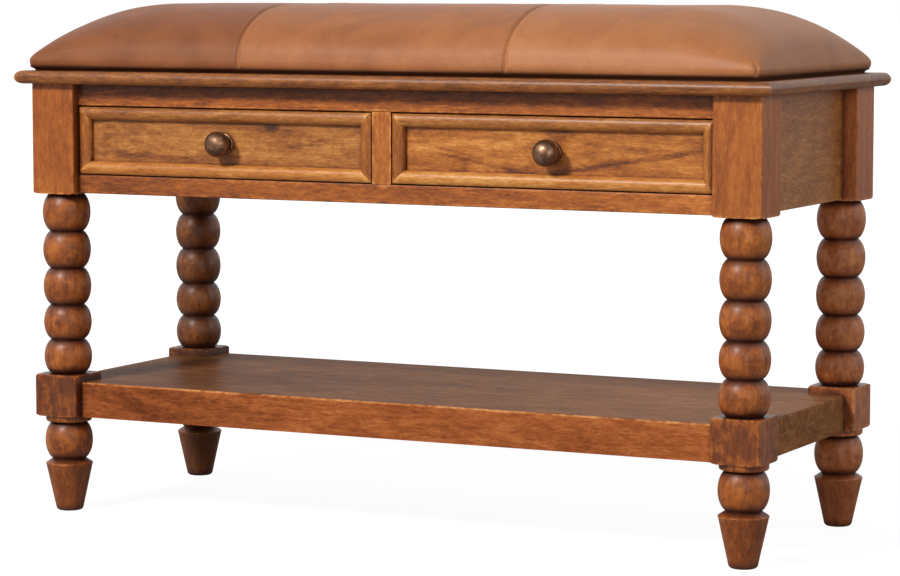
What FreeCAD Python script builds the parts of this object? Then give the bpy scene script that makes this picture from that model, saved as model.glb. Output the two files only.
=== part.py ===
"""Bench on turned legs: a leather seat, two drawers under it and a low shelf.

Millimetres. +X runs along the bench, -Y is its front and +Z is up.
The origin is on the floor, under the middle of the bench.
"""

import FreeCAD, Part
import math
import os

V = FreeCAD.Vector

# Top board
TOP_LENGTH = 800.0
TOP_DEPTH = 328.0
TOP_THICKNESS = 13.0
TOP_OVERHANG = 12.5

# Legs, from the floor up
POST_WIDTH = 48.0
FOOT_HEIGHT = 53.0
FOOT_BASE_DIAMETER = 26.0
FOOT_BASE_ROUND = 3.0
FOOT_RIM_DIAMETER = 46.5
FOOT_RIM_LIP = 1.6
FOOT_CHAMFER_HEIGHT = 4.5
BOBBIN_DIAMETER = 47.6
NECK_DIAMETER = 33.0
BOBBIN_FULLNESS = 1.05
LOW_BOBBIN_HEIGHT = 37.5
COLLAR_DIAMETER = 46.0
COLLAR_HEIGHT = 6.5
COLLAR_ROUND = 2.5
BLOCK_HEIGHT = 42.0
BOBBIN_HEIGHTS = [34.5, 35.0, 37.0, 37.0, 38.0]
POST_HEIGHT = 109.5
POMMEL_HEIGHT = 5.5
POMMEL_END_DIAMETER = 58.0
LEG_EDGE_ROUND = 1.5

# Rails, panels and their joints
FRONT_RECESS = 10.0
SIDE_RECESS = 15.0
BACK_RECESS = 10.0
RAIL_LIFT = 1.0
RAIL_THICKNESS = 20.0
TOP_RAIL_HEIGHT = 21.5
BOTTOM_RAIL_HEIGHT = 18.5
STILE_WIDTH = 20.0
PANEL_THICKNESS = 18.0
TENON_THICKNESS = 8.0
TENON_LENGTH = 14.0
TENON_SHOULDER = 4.0
SMALL_TENON_LENGTH = 6.0
MORTISE_CLEARANCE = 0.1
EDGE_ROUND = 1.2

# Drawer runners and kickers
RUNNER_WIDTH = 20.0
CENTRE_RUNNER_WIDTH = 60.0
GUIDE_HEIGHT = 12.0

# Drawers
DRAWER_GAP = 1.2
DRAWER_RUNNING_GAP = 0.3
DRAWER_SIDE_GAP = 1.8
DRAWER_BACK_GAP = 0.5
DRAWER_FIELD_RECESS = 6.0
DRAWER_FRONT_THICKNESS = 14.0
DRAWER_WALL = 12.0
DRAWER_HEADROOM = 8.0
DRAWER_BOTTOM_THICKNESS = 5.0
DRAWER_BOTTOM_LIFT = 8.0
GROOVE_DEPTH = 5.0
GROOVE_CLEARANCE = 0.2
MOULDING_WIDTH = 12.5
MOULDING_OUTER_HEIGHT = 5.5
MOULDING_CROWN_HEIGHT = 8.0
MOULDING_INNER_HEIGHT = 2.5

# Knobs
KNOB_DIAMETER = 25.0
KNOB_LENGTH = 26.0
KNOB_BALL_DEPTH = 21.0
KNOB_TIP_DIAMETER = 2.0
KNOB_NECK_DIAMETER = 10.0
ROSE_DIAMETER = 20.0
ROSE_THICKNESS = 3.0
ROSE_ROUND = 1.2
KNOB_SCREW_DIAMETER = 4.0
KNOB_SCREW_HEAD_DIAMETER = 8.5
KNOB_SCREW_HEAD_HEIGHT = 2.6
KNOB_SCREW_GRIP = 9.0

# Low shelf
SHELF_RECESS = 10.0
SHELF_STEP = 7.0
SHELF_BOARD_THICKNESS = 15.0
SHELF_RAIL_HEIGHT = 20.0
SHELF_RAIL_THICKNESS = 18.0
SHELF_EDGE_ROUND = 2.0
SHELF_NOTCH_CLEARANCE = 0.2
DOWEL_DIAMETER = 8.0
DOWEL_LENGTH = 30.0

# Seat
SEAT_END_MARGIN = 11.5
SEAT_FRONT_MARGIN = 8.0
SEAT_SHIFT_X = -3.5
SEAT_HEIGHT = 66.5
SEAT_WIDEST_HEIGHT = 9.0
SEAT_TUCK = 6.5
SEAT_CROWN_SHARE = 0.695
SEAT_CROWN_POWER = 0.94
SEAT_CROWN_SECTIONS = 8
SEAT_CORNER_RADIUS = 3.0
LEATHER_THICKNESS = 1.6
LEATHER_HEM = 22.0
SEAT_BOARD_THICKNESS = 9.0
SEAT_BOARD_CLEARANCE = 2.0
SEAM_LEFT_X = -150.0
SEAM_RIGHT_X = 135.0

# Wood screws
WOOD_SCREW_DIAMETER = 4.0
WOOD_SCREW_HEAD_DIAMETER = 8.0
WOOD_SCREW_POINT = 3.0
SCREW_HOLE_CLEARANCE = 0.2
SEAT_SCREW_X = 180.0
SEAT_SCREW_Y = 95.0
SEAT_SCREW_BITE = 7.0
TOP_SCREW_Y = 80.0
TOP_SCREW_BITE = 9.0
COUNTERBORE_DEPTH = 6.0

# Heights worked out from the sizes above
LOW_BOBBIN_BOTTOM = FOOT_HEIGHT
COLLAR_BOTTOM = LOW_BOBBIN_BOTTOM + LOW_BOBBIN_HEIGHT
BLOCK_BOTTOM = COLLAR_BOTTOM + COLLAR_HEIGHT
BLOCK_TOP = BLOCK_BOTTOM + BLOCK_HEIGHT
POST_BOTTOM = BLOCK_TOP + sum(BOBBIN_HEIGHTS)
POST_TOP = POST_BOTTOM + POST_HEIGHT
TOP_SURFACE = POST_TOP + TOP_THICKNESS
RAIL_BOTTOM = POST_BOTTOM + RAIL_LIFT
OPENING_BOTTOM = RAIL_BOTTOM + BOTTOM_RAIL_HEIGHT
OPENING_TOP = POST_TOP - TOP_RAIL_HEIGHT
SHELF_TOP = BLOCK_TOP - SHELF_STEP
SHELF_RAIL_TOP = SHELF_TOP - SHELF_BOARD_THICKNESS
SHELF_RAIL_BOTTOM = SHELF_RAIL_TOP - SHELF_RAIL_HEIGHT

# Places in plan worked out from the sizes above
POST_OUTER_X = TOP_LENGTH / 2 - TOP_OVERHANG
POST_OUTER_Y = TOP_DEPTH / 2 - TOP_OVERHANG
POST_INNER_X = POST_OUTER_X - POST_WIDTH
POST_INNER_Y = POST_OUTER_Y - POST_WIDTH
LEG_X = POST_OUTER_X - POST_WIDTH / 2
LEG_Y = POST_OUTER_Y - POST_WIDTH / 2
RAIL_FRONT = -(POST_OUTER_Y - FRONT_RECESS)
RAIL_BACK = RAIL_FRONT + RAIL_THICKNESS
BACK_OUTER = POST_OUTER_Y - BACK_RECESS
BACK_INNER = BACK_OUTER - PANEL_THICKNESS
SIDE_OUTER = POST_OUTER_X - SIDE_RECESS
SIDE_INNER = SIDE_OUTER - PANEL_THICKNESS
SHELF_OUTER_X = POST_OUTER_X - SHELF_RECESS
SHELF_OUTER_Y = POST_OUTER_Y - SHELF_RECESS
SEAT_HALF_X = TOP_LENGTH / 2 - SEAT_END_MARGIN
SEAT_HALF_Y = TOP_DEPTH / 2 - SEAT_FRONT_MARGIN
SEAT_CROWN_RUN = SEAT_HALF_Y * SEAT_CROWN_SHARE

OVERRUN = 1.0  # how far a cutting tool runs past the face that it starts from


# Shared helpers

def box(x, y, z, grow=0.0):
    """A block between the two values of each range, in either order, grown on every side."""
    low = V(min(x) - grow, min(y) - grow, min(z) - grow)
    high = V(max(x) + grow, max(y) + grow, max(z) + grow)
    size = high - low
    return Part.makeBox(size.x, size.y, size.z, low)


def rod(start, direction, length, diameter):
    """A round bar from a point."""
    return Part.makeCylinder(diameter / 2, length, start, direction)


def joined(shapes):
    """One solid out of pieces that touch or overlap."""
    return shapes[0].multiFuse(shapes[1:]).removeSplitter()


def eased(shape, radius, wanted):
    """The shape with the edges rounded whose middle point is wanted."""
    edges = [e for e in shape.Edges if wanted(e.CenterOfMass)]
    return shape.makeFillet(radius, edges)


def near(a, b):
    """Whether two coordinates are the same place."""
    return abs(a - b) < 0.01


def line(a, b):
    return Part.LineSegment(a, b).toShape()


def arc(a, middle, b):
    return Part.Arc(a, middle, b).toShape()


def turned(edges):
    """A solid turned about Z from the edges of a closed outline in the XZ plane."""
    face = Part.Face(Part.Wire(Part.__sortEdges__(edges)))
    return face.revolve(V(0, 0, 0), V(0, 0, 1), 360)


def round_corner(start, corner, end):
    """An arc like a quarter round, from start to end, bulging towards the corner."""
    share = math.sqrt(0.5)
    middle = (start + end) * 0.5 + (corner - (start + end) * 0.5) * (2 * share - 1)
    return arc(start, middle, end)


# Legs

def bobbin_edge(bottom, height):
    """The bulging side of one bobbin: part of an ellipse that stands on the axis side of its necks."""
    widest = BOBBIN_DIAMETER / 2
    neck = NECK_DIAMETER / 2
    share = math.sqrt(1 - 1 / BOBBIN_FULLNESS**2)
    centre_radius = (neck - share * widest) / (1 - share)
    reach = height / 2 * BOBBIN_FULLNESS
    centre = V(centre_radius, 0, bottom + height / 2)
    ellipse = Part.Ellipse(centre + V(0, 0, reach), V(widest, 0, centre.z), centre)
    end = math.acos(1 / BOBBIN_FULLNESS)
    return Part.Arc(ellipse, end, math.pi - end).toShape()


def foot_edges(neck):
    """The outline of the tapered foot, from the axis on the floor up to the low bobbin's neck."""
    base = FOOT_BASE_DIAMETER / 2
    rim = FOOT_RIM_DIAMETER / 2
    rim_bottom = FOOT_HEIGHT - FOOT_CHAMFER_HEIGHT - FOOT_RIM_LIP
    rim_top = FOOT_HEIGHT - FOOT_CHAMFER_HEIGHT
    taper = (rim - base) / rim_bottom
    floor_end = V(base - FOOT_BASE_ROUND, 0, 0)
    round_end = V(base + taper * FOOT_BASE_ROUND, 0, FOOT_BASE_ROUND)
    lip_low = V(rim, 0, rim_bottom)
    lip_high = V(rim, 0, rim_top)
    return [
        line(V(0, 0, 0), floor_end),
        round_corner(floor_end, V(base, 0, 0), round_end),
        line(round_end, lip_low),
        arc(lip_low, V(rim + FOOT_RIM_LIP / 4, 0, (rim_bottom + rim_top) / 2), lip_high),
        line(lip_high, V(neck, 0, FOOT_HEIGHT)),
    ]


def collar_edges(neck):
    """The outline of the flat ring under the square block."""
    outer = COLLAR_DIAMETER / 2
    low_end = V(outer - COLLAR_ROUND, 0, COLLAR_BOTTOM)
    round_end = V(outer, 0, COLLAR_BOTTOM + COLLAR_ROUND)
    return [
        line(V(neck, 0, COLLAR_BOTTOM), low_end),
        round_corner(low_end, V(outer, 0, COLLAR_BOTTOM), round_end),
        line(round_end, V(outer, 0, BLOCK_BOTTOM)),
        line(V(outer, 0, BLOCK_BOTTOM), V(neck, 0, BLOCK_BOTTOM)),
    ]


def turned_core():
    """Everything round on a leg, from the foot to the square post."""
    neck = NECK_DIAMETER / 2
    edges = foot_edges(neck)
    edges.append(bobbin_edge(LOW_BOBBIN_BOTTOM, LOW_BOBBIN_HEIGHT))
    edges += collar_edges(neck)
    edges.append(line(V(neck, 0, BLOCK_BOTTOM), V(neck, 0, BLOCK_TOP)))
    bottom = BLOCK_TOP
    for height in BOBBIN_HEIGHTS:
        edges.append(bobbin_edge(bottom, height))
        bottom += height
    edges.append(line(V(neck, 0, POST_BOTTOM), V(0, 0, POST_BOTTOM)))
    edges.append(line(V(0, 0, POST_BOTTOM), V(0, 0, 0)))
    return turned(edges)


def square_section(bottom, top, rounded_top):
    """A square length of a leg whose corners are turned away where it meets a bobbin."""
    half = POST_WIDTH / 2
    square = box((-half, half), (-half, half), (bottom, top))
    square = eased(square, LEG_EDGE_ROUND, lambda c: near(abs(c.x), half) and near(abs(c.y), half))
    end = POMMEL_END_DIAMETER / 2
    clear = POST_WIDTH / math.sqrt(2) + OVERRUN
    low_side = V(clear, 0, bottom + POMMEL_HEIGHT)
    edges = [
        line(V(0, 0, bottom), V(end, 0, bottom)),
        round_corner(V(end, 0, bottom), V(clear, 0, bottom), low_side),
    ]
    if rounded_top:
        high_side = V(clear, 0, top - POMMEL_HEIGHT)
        edges.append(line(low_side, high_side))
        edges.append(round_corner(high_side, V(clear, 0, top), V(end, 0, top)))
        edges.append(line(V(end, 0, top), V(0, 0, top)))
    else:
        edges.append(line(low_side, V(clear, 0, top)))
        edges.append(line(V(clear, 0, top), V(0, 0, top)))
    edges.append(line(V(0, 0, top), V(0, 0, bottom)))
    return square.common(turned(edges))


def leg_blank():
    """One leg on the Z axis, before its mortises are cut."""
    block = square_section(BLOCK_BOTTOM, BLOCK_TOP, rounded_top=True)
    post = square_section(POST_BOTTOM, POST_TOP, rounded_top=False)
    return joined([turned_core(), block, post])


def make_legs(cutters):
    """The four legs, with a mortise or hole for each cutter that reaches them."""
    blank = leg_blank()
    tools = Part.makeCompound(cutters)
    legs = {}
    for depth_name, y in (("front", -LEG_Y), ("rear", LEG_Y)):
        for side_name, x in (("left", -LEG_X), ("right", LEG_X)):
            leg = blank.copy()
            leg.translate(V(x, y, 0))
            legs[f"leg_{depth_name}_{side_name}"] = leg.cut(tools)
    return legs


# Rails, panels and the stile

class Joinery:
    """Collects the tenons of the rails and panels, and what each of them cuts out of its neighbours."""

    def __init__(self):
        self.leg_cutters = []
        self.rail_cutters = []

    def tenon(self, x, y, z, cutters):
        cutters.append(box(x, y, z, grow=MORTISE_CLEARANCE))
        return box(x, y, z)

    def rail_tenons(self, y_front, y_back, z_low, z_high):
        """The two end tenons of a piece that runs along X between two legs."""
        middle = (y_front + y_back) / 2
        y = (middle - TENON_THICKNESS / 2, middle + TENON_THICKNESS / 2)
        z = (z_low + TENON_SHOULDER, z_high - TENON_SHOULDER)
        ends = [(side * POST_INNER_X, side * (POST_INNER_X + TENON_LENGTH)) for side in (-1, 1)]
        return [self.tenon(x, y, z, self.leg_cutters) for x in ends]

    def side_tenons(self, x_inner, x_outer, z_low, z_high):
        """The two end tenons of a piece that runs along Y between two legs."""
        middle = (x_inner + x_outer) / 2
        x = (middle - TENON_THICKNESS / 2, middle + TENON_THICKNESS / 2)
        z = (z_low + TENON_SHOULDER, z_high - TENON_SHOULDER)
        ends = [(side * POST_INNER_Y, side * (POST_INNER_Y + TENON_LENGTH)) for side in (-1, 1)]
        return [self.tenon(x, y, z, self.leg_cutters) for y in ends]


def long_board(x, y, z, round_y):
    """A board along X whose two long edges on one face are eased."""
    body = box(x, y, z)
    return eased(body, EDGE_ROUND, lambda c: near(c.y, round_y) and near(c.x, sum(x) / 2))


def make_front_rails(joinery):
    x = (-POST_INNER_X, POST_INNER_X)
    y = (RAIL_FRONT, RAIL_BACK)
    rails = {}
    for name, z in (
        ("front_top_rail", (OPENING_TOP, POST_TOP)),
        ("front_bottom_rail", (RAIL_BOTTOM, OPENING_BOTTOM)),
    ):
        tenons = joinery.rail_tenons(*y, *z)
        rails[name] = joined([long_board(x, y, z, RAIL_FRONT), *tenons])
    return rails


def make_stile(joinery):
    """The upright between the drawers, tenoned into both rails."""
    x = (-STILE_WIDTH / 2, STILE_WIDTH / 2)
    y = (RAIL_FRONT, RAIL_BACK)
    body = box(x, y, (OPENING_BOTTOM, OPENING_TOP))
    tenon_x = (x[0] + TENON_SHOULDER, x[1] - TENON_SHOULDER)
    tenon_y = (RAIL_FRONT + TENON_SHOULDER, RAIL_FRONT + TENON_SHOULDER + TENON_THICKNESS)
    ends = [
        (OPENING_BOTTOM - SMALL_TENON_LENGTH, OPENING_BOTTOM),
        (OPENING_TOP, OPENING_TOP + SMALL_TENON_LENGTH),
    ]
    tenons = [joinery.tenon(tenon_x, tenon_y, z, joinery.rail_cutters) for z in ends]
    return joined([body, *tenons])


def make_side_panel(side, joinery):
    x = (side * SIDE_INNER, side * SIDE_OUTER)
    y = (-POST_INNER_Y, POST_INNER_Y)
    z = (RAIL_BOTTOM, POST_TOP)
    body = box(x, y, z)
    body = eased(body, EDGE_ROUND, lambda c: near(c.x, x[1]) and near(c.z, RAIL_BOTTOM))
    return joined([body, *joinery.side_tenons(*x, *z)])


def make_back_panel(joinery):
    x = (-POST_INNER_X, POST_INNER_X)
    y = (BACK_INNER, BACK_OUTER)
    z = (RAIL_BOTTOM, POST_TOP)
    return joined([long_board(x, y, z, BACK_OUTER), *joinery.rail_tenons(*y, *z)])


# Runners, guide and kickers

def runner_places():
    """The X range of the left, centre and right runner, which the kickers share."""
    return {
        "left": (-POST_INNER_X, -POST_INNER_X + RUNNER_WIDTH),
        "centre": (-CENTRE_RUNNER_WIDTH / 2, CENTRE_RUNNER_WIDTH / 2),
        "right": (POST_INNER_X - RUNNER_WIDTH, POST_INNER_X),
    }


def make_runners(joinery):
    """Bearers that the drawers slide on, tenoned into the bottom rail and the back."""
    z = (RAIL_BOTTOM, OPENING_BOTTOM)
    tenon_z = (z[0] + TENON_SHOULDER, z[1] - TENON_SHOULDER)
    runners = {}
    for name, x in runner_places().items():
        tenon_x = (x[0] + TENON_SHOULDER, x[1] - TENON_SHOULDER)
        front_y = (RAIL_BACK - SMALL_TENON_LENGTH, RAIL_BACK)
        back_y = (BACK_INNER, BACK_INNER + SMALL_TENON_LENGTH)
        body = box(x, (RAIL_BACK, BACK_INNER), z)
        tenons = [joinery.tenon(tenon_x, y, tenon_z, joinery.rail_cutters) for y in (front_y, back_y)]
        runners[f"drawer_runner_{name}"] = joined([body, *tenons])
    return runners


def make_guide():
    """The strip on the centre runner that keeps the drawers apart."""
    x = (-STILE_WIDTH / 2, STILE_WIDTH / 2)
    return box(x, (RAIL_BACK, BACK_INNER), (OPENING_BOTTOM, OPENING_BOTTOM + GUIDE_HEIGHT))


def kicker_screw_points(x):
    middle = sum(x) / 2
    return [V(middle, y, OPENING_TOP + COUNTERBORE_DEPTH) for y in (-TOP_SCREW_Y, TOP_SCREW_Y)]


def make_kickers():
    """Battens over the drawers, which also hold the top board's screws."""
    bore = WOOD_SCREW_HEAD_DIAMETER + SCREW_HOLE_CLEARANCE
    kickers = {}
    for name, x in runner_places().items():
        kicker = box(x, (RAIL_BACK, BACK_INNER), (OPENING_TOP, POST_TOP))
        for point in kicker_screw_points(x):
            kicker = kicker.cut(screw_hole(point, top_screw_length()))
            mouth = V(point.x, point.y, OPENING_TOP - OVERRUN)
            kicker = kicker.cut(rod(mouth, V(0, 0, 1), COUNTERBORE_DEPTH + OVERRUN, bore))
        kickers[f"drawer_kicker_{name}"] = kicker
    return kickers


# Wood screws

def wood_screw(head, length):
    """A countersunk screw that points up, with its flat head face at a point."""
    radius = WOOD_SCREW_DIAMETER / 2
    head_radius = WOOD_SCREW_HEAD_DIAMETER / 2
    head_height = head_radius - radius
    points = [
        V(0, 0, 0),
        V(head_radius, 0, 0),
        V(radius, 0, head_height),
        V(radius, 0, length - WOOD_SCREW_POINT),
        V(0, 0, length),
    ]
    edges = [line(a, b) for a, b in zip(points, points[1:] + points[:1])]
    screw = turned(edges)
    screw.translate(head)
    return screw


def screw_hole(head, length):
    """What a screw like that needs cut out of the wood round it."""
    grown = SCREW_HOLE_CLEARANCE / 2
    head_radius = WOOD_SCREW_HEAD_DIAMETER / 2 + grown
    radius = WOOD_SCREW_DIAMETER / 2 + grown
    cone = Part.makeCone(head_radius, radius, head_radius - radius, head)
    return joined([cone, rod(head, V(0, 0, 1), length + grown, 2 * radius)])


def top_screw_heads():
    return [point for x in runner_places().values() for point in kicker_screw_points(x)]


def top_screw_length():
    return POST_TOP - (OPENING_TOP + COUNTERBORE_DEPTH) + TOP_SCREW_BITE


def seat_screw_heads():
    places = [(x, y) for x in (-SEAT_SCREW_X, SEAT_SCREW_X) for y in (-SEAT_SCREW_Y, SEAT_SCREW_Y)]
    return [V(x, y, POST_TOP) for x, y in places]


def seat_screw_length():
    return TOP_THICKNESS + LEATHER_THICKNESS + SEAT_SCREW_BITE


# Top board

def nosed_slab(length, depth):
    """A slab along X, round on its two long edges."""
    radius = TOP_THICKNESS / 2
    flat = depth / 2 - radius
    middle = POST_TOP + radius
    low = [V(-length / 2, y, POST_TOP) for y in (-flat, flat)]
    high = [V(-length / 2, y, TOP_SURFACE) for y in (flat, -flat)]
    edges = [
        line(low[0], low[1]),
        arc(low[1], V(-length / 2, depth / 2, middle), high[0]),
        line(high[0], high[1]),
        arc(high[1], V(-length / 2, -depth / 2, middle), low[0]),
    ]
    return Part.Face(Part.Wire(edges)).extrude(V(length, 0, 0))


def make_top_board():
    """The board under the seat, with a round nose that is mitred at the corners."""
    along = nosed_slab(TOP_LENGTH, TOP_DEPTH)
    across = nosed_slab(TOP_DEPTH, TOP_LENGTH)
    across.rotate(V(0, 0, 0), V(0, 0, 1), 90)
    board = along.common(across)
    for head in seat_screw_heads():
        board = board.cut(screw_hole(head, seat_screw_length()))
    for head in top_screw_heads():
        board = board.cut(screw_hole(head, top_screw_length()))
    return board


# Seat

def seat_outline(half_x, half_y, radius, z):
    """A closed wire of four lines and four quarter arcs, round the middle of the seat."""
    edges = []
    for sx, sy in ((1, -1), (1, 1), (-1, 1), (-1, -1)):
        corner = V(SEAT_SHIFT_X + sx * half_x, sy * half_y, z)
        along_x = V(corner.x - sx * radius, corner.y, z)
        along_y = V(corner.x, corner.y - sy * radius, z)
        start, end = (along_x, along_y) if sx * sy < 0 else (along_y, along_x)
        edges.append((round_corner(start, corner, end), start, end))
    wire = []
    for this, following in zip(edges, edges[1:] + edges[:1]):
        wire += [this[0], line(this[2], following[1])]
    return Part.Wire(wire)


def seat_foot():
    """Height, inset and corner radius of the seat's outlines, from its foot to its widest place."""
    return [
        (0.0, SEAT_TUCK, SEAT_CORNER_RADIUS),
        (SEAT_WIDEST_HEIGHT / 3, SEAT_TUCK / 4, SEAT_CORNER_RADIUS),
        (SEAT_WIDEST_HEIGHT, 0.0, SEAT_CORNER_RADIUS),
    ]


def seat_crown():
    """The same from its widest place to the top: near quarter ellipses, with corners that pull down."""
    rise = SEAT_HEIGHT - SEAT_WIDEST_HEIGHT
    sections = []
    for step in range(SEAT_CROWN_SECTIONS + 1):
        turn = math.pi / 2 * step / SEAT_CROWN_SECTIONS
        height = SEAT_WIDEST_HEIGHT + rise * math.sin(turn) ** SEAT_CROWN_POWER
        corner_inset = math.cos(turn) - math.sqrt(max(0.0, 1 - math.sin(turn)))
        radius = SEAT_CORNER_RADIUS + SEAT_CROWN_RUN * corner_inset / (1 - math.sqrt(0.5))
        sections.append((height, SEAT_CROWN_RUN * (1 - math.cos(turn)), radius))
    return sections


def seat_form(skin):
    """The seat's body, this much inside its leather face."""
    scale = (SEAT_HEIGHT - 2 * skin) / SEAT_HEIGHT
    lofts = []
    for sections, straight in ((seat_foot(), True), (seat_crown(), False)):
        wires = []
        for height, inset, radius in sections:
            half_x = SEAT_HALF_X - inset - skin
            half_y = SEAT_HALF_Y - inset - skin
            wires.append(seat_outline(half_x, half_y, radius, TOP_SURFACE + skin + height * scale))
        lofts.append(Part.makeLoft(wires, True, straight))
    return joined(lofts)


def seat_board_half():
    inset = SEAT_TUCK + LEATHER_THICKNESS + SEAT_BOARD_CLEARANCE
    return SEAT_HALF_X - inset, SEAT_HALF_Y - inset


def make_seat():
    """A plywood board with foam on it, and leather sewn from three panels pulled round both."""
    half_x, half_y = seat_board_half()
    board_bottom = TOP_SURFACE + LEATHER_THICKNESS
    outline = seat_outline(half_x, half_y, SEAT_CORNER_RADIUS, board_bottom)
    board = Part.Face(outline).extrude(V(0, 0, SEAT_BOARD_THICKNESS))
    inside = seat_form(LEATHER_THICKNESS)
    foam = inside.cut(board)
    for head in seat_screw_heads():
        board = board.cut(screw_hole(head, seat_screw_length()))
    window_x = half_x - LEATHER_HEM
    window_y = half_y - LEATHER_HEM
    window_z = (TOP_SURFACE - OVERRUN, board_bottom + OVERRUN)
    window = box((SEAT_SHIFT_X - window_x, SEAT_SHIFT_X + window_x), (-window_y, window_y), window_z)
    leather = seat_form(0.0).cut(inside).cut(window)
    seams = [-TOP_LENGTH, SEAM_LEFT_X, SEAM_RIGHT_X, TOP_LENGTH]
    nodes = {"seat_board": board, "seat_foam": foam}
    for name, start, end in zip(("left", "middle", "right"), seams, seams[1:]):
        panel = box((start, end), (-TOP_DEPTH, TOP_DEPTH), (0, TOP_SURFACE + 2 * SEAT_HEIGHT))
        nodes[f"seat_leather_{name}"] = leather.common(panel)
    return nodes


# Low shelf

def dowel_places():
    """Start and direction of each dowel, which lies half in a shelf rail and half in a leg."""
    z = (SHELF_RAIL_BOTTOM + SHELF_RAIL_TOP) / 2
    rail_y = SHELF_OUTER_Y - SHELF_RAIL_THICKNESS / 2
    rail_x = SHELF_OUTER_X - SHELF_RAIL_THICKNESS / 2
    places = []
    for sx in (-1, 1):
        for sy in (-1, 1):
            along_x = V(sx * (POST_INNER_X - DOWEL_LENGTH / 2), sy * rail_y, z)
            along_y = V(sx * rail_x, sy * (POST_INNER_Y - DOWEL_LENGTH / 2), z)
            places += [(along_x, V(sx, 0, 0)), (along_y, V(0, sy, 0))]
    return places


def make_dowels():
    return Part.makeCompound([rod(p, d, DOWEL_LENGTH, DOWEL_DIAMETER) for p, d in dowel_places()])


def dowel_holes():
    diameter = DOWEL_DIAMETER + 2 * MORTISE_CLEARANCE
    length = DOWEL_LENGTH + 2 * MORTISE_CLEARANCE
    return [rod(p - d * MORTISE_CLEARANCE, d, length, diameter) for p, d in dowel_places()]


def make_shelf():
    """A board notched round the legs, on four rails that make its edge look thick."""
    holes = Part.makeCompound(dowel_holes())
    rail_z = (SHELF_RAIL_BOTTOM, SHELF_RAIL_TOP)
    inner_y = SHELF_OUTER_Y - SHELF_RAIL_THICKNESS
    inner_x = SHELF_OUTER_X - SHELF_RAIL_THICKNESS
    long_x = (-POST_INNER_X, POST_INNER_X)
    short_y = (-POST_INNER_Y, POST_INNER_Y)
    nodes = {}
    for name, side in (("front", -1), ("rear", 1)):
        rail = box(long_x, (side * inner_y, side * SHELF_OUTER_Y), rail_z)
        nodes[f"shelf_rail_{name}"] = rail.cut(holes)
    for name, side in (("left", -1), ("right", 1)):
        rail = box((side * inner_x, side * SHELF_OUTER_X), short_y, rail_z)
        nodes[f"shelf_rail_{name}"] = rail.cut(holes)
    board = box(
        (-SHELF_OUTER_X, SHELF_OUTER_X),
        (-SHELF_OUTER_Y, SHELF_OUTER_Y),
        (SHELF_RAIL_TOP, SHELF_TOP),
    )
    board = eased(board, SHELF_EDGE_ROUND, lambda c: near(c.z, SHELF_TOP))
    notch_x = POST_INNER_X - SHELF_NOTCH_CLEARANCE
    notch_y = POST_INNER_Y - SHELF_NOTCH_CLEARANCE
    for sx in (-1, 1):
        for sy in (-1, 1):
            x = (sx * notch_x, sx * POST_OUTER_X)
            y = (sy * notch_y, sy * POST_OUTER_Y)
            board = board.cut(box(x, y, (0, POST_BOTTOM)))
    nodes["shelf_board"] = board
    return nodes


# Drawers

class DrawerPlaces:
    """Where the pieces of one drawer are, from the X range of its opening."""

    def __init__(self, opening):
        self.front_x = (opening[0] + DRAWER_GAP, opening[1] - DRAWER_GAP)
        self.front_z = (OPENING_BOTTOM + DRAWER_GAP, OPENING_TOP - DRAWER_GAP)
        self.field = RAIL_FRONT + DRAWER_FIELD_RECESS
        self.front_back = self.field + DRAWER_FRONT_THICKNESS
        self.outer_x = (opening[0] + DRAWER_SIDE_GAP, opening[1] - DRAWER_SIDE_GAP)
        self.inner_x = (self.outer_x[0] + DRAWER_WALL, self.outer_x[1] - DRAWER_WALL)
        self.rear = BACK_INNER - DRAWER_BACK_GAP
        self.low = OPENING_BOTTOM + DRAWER_RUNNING_GAP
        self.high = OPENING_TOP - DRAWER_HEADROOM
        bottom = self.low + DRAWER_BOTTOM_LIFT
        self.bottom_z = (bottom, bottom + DRAWER_BOTTOM_THICKNESS)
        self.knob_x = sum(opening) / 2
        self.knob_z = (OPENING_BOTTOM + OPENING_TOP) / 2


def drawer_box(p):
    """The front, sides, back and bottom of a drawer, grooved into each other."""
    side_y = (p.front_back - GROOVE_DEPTH, p.rear)
    back_y = (p.rear - DRAWER_WALL, p.rear)
    back_x = (p.inner_x[0] - GROOVE_DEPTH, p.inner_x[1] + GROOVE_DEPTH)
    back_z = (p.bottom_z[1], p.high)
    bottom_x = (p.inner_x[0] - GROOVE_DEPTH, p.inner_x[1] + GROOVE_DEPTH)
    bottom_y = (p.front_back - GROOVE_DEPTH, p.rear)
    bottom = box(bottom_x, bottom_y, p.bottom_z)
    back = box(back_x, back_y, back_z)
    side_x = {"left": (p.outer_x[0], p.inner_x[0]), "right": (p.inner_x[1], p.outer_x[1])}
    sides = {name: box(x, side_y, (p.low, p.high)) for name, x in side_x.items()}
    front = box(p.front_x, (p.field, p.front_back), p.front_z)
    bottom_groove = box(bottom_x, bottom_y, p.bottom_z, grow=GROOVE_CLEARANCE)
    back_groove = box(back_x, back_y, back_z, grow=GROOVE_CLEARANCE)
    for x in side_x.values():
        front = front.cut(box(x, side_y, (p.low, p.high), grow=GROOVE_CLEARANCE))
    front = front.cut(bottom_groove)
    front = front.cut(knob_screw_hole(p))
    nodes = {"front": front, "back": back, "bottom": bottom}
    for name, side in sides.items():
        nodes[f"side_{name}"] = side.cut(bottom_groove).cut(back_groove)
    return nodes


def moulding_profile(p, outer, inward):
    """The moulding's section, as a function of a point across it and one out of the drawer front."""
    crown = MOULDING_WIDTH * 0.42
    places = {
        "back_outer": (0, 0),
        "outer": (0, MOULDING_OUTER_HEIGHT),
        "crown": (crown, MOULDING_CROWN_HEIGHT),
        "inner": (MOULDING_WIDTH, MOULDING_INNER_HEIGHT),
        "back_inner": (MOULDING_WIDTH, 0),
    }
    return {name: (outer + inward * across, p.field - out) for name, (across, out) in places.items()}


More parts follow.
